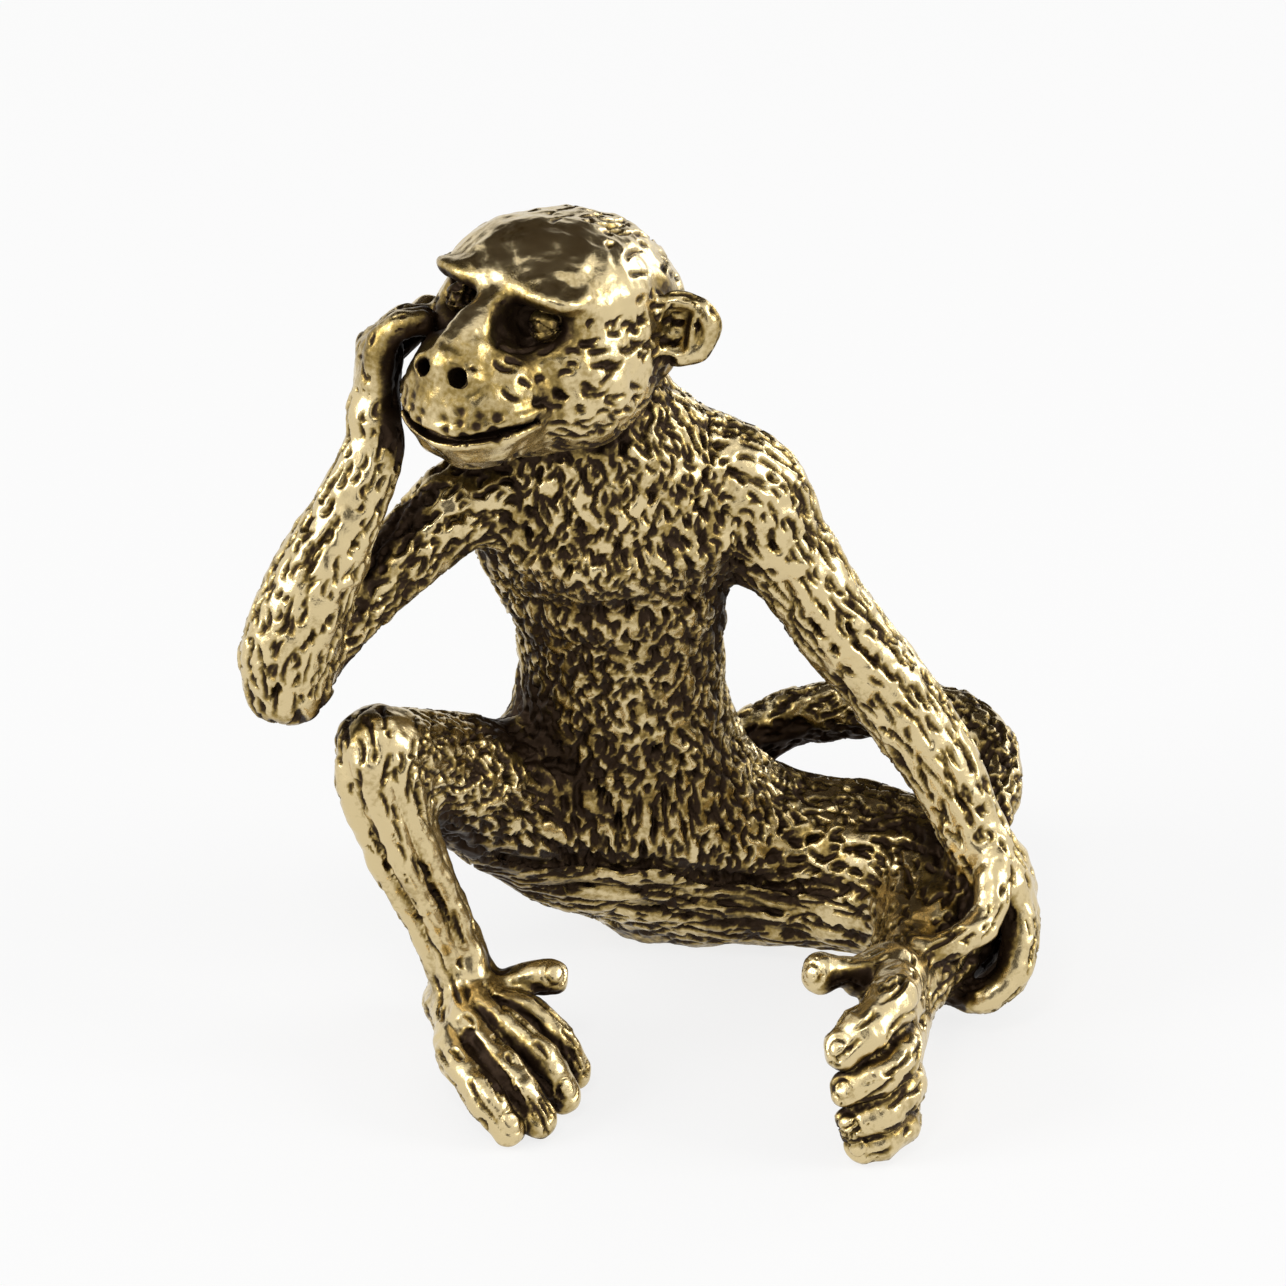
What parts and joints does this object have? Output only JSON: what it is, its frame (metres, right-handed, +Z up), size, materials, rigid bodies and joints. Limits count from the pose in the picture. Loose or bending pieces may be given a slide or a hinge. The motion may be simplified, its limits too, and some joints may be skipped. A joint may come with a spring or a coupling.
{
  "type": "monkey figurine",
  "caption": "Small solid brass monkey figurine with an antique finish, sitting with one cheek leaned on its hand and its tail curled beside it.",
  "frame": {"origin": "bottom centre of the figure's bounding box, on the surface that it sits on", "axes": "+Z up, -Y to the monkey's front, +X to the monkey's left"},
  "size_m": [0.0364, 0.0296, 0.0413],
  "materials": {
    "antique_brass": "cast, blackened and rubbed bright on the high spots"
  },
  "bodies": {
    "root": {"torso": "antique_brass", "head": "antique_brass", "right_upper_arm": "antique_brass", "right_forearm": "antique_brass", "right_hand": "antique_brass", "left_arm": "antique_brass", "left_hand": "antique_brass", "right_thigh": "antique_brass", "right_shin": "antique_brass", "right_foot": "antique_brass", "left_thigh": "antique_brass", "left_shin": "antique_brass", "left_foot": "antique_brass", "tail": "antique_brass"}
  },
  "joints": []
}
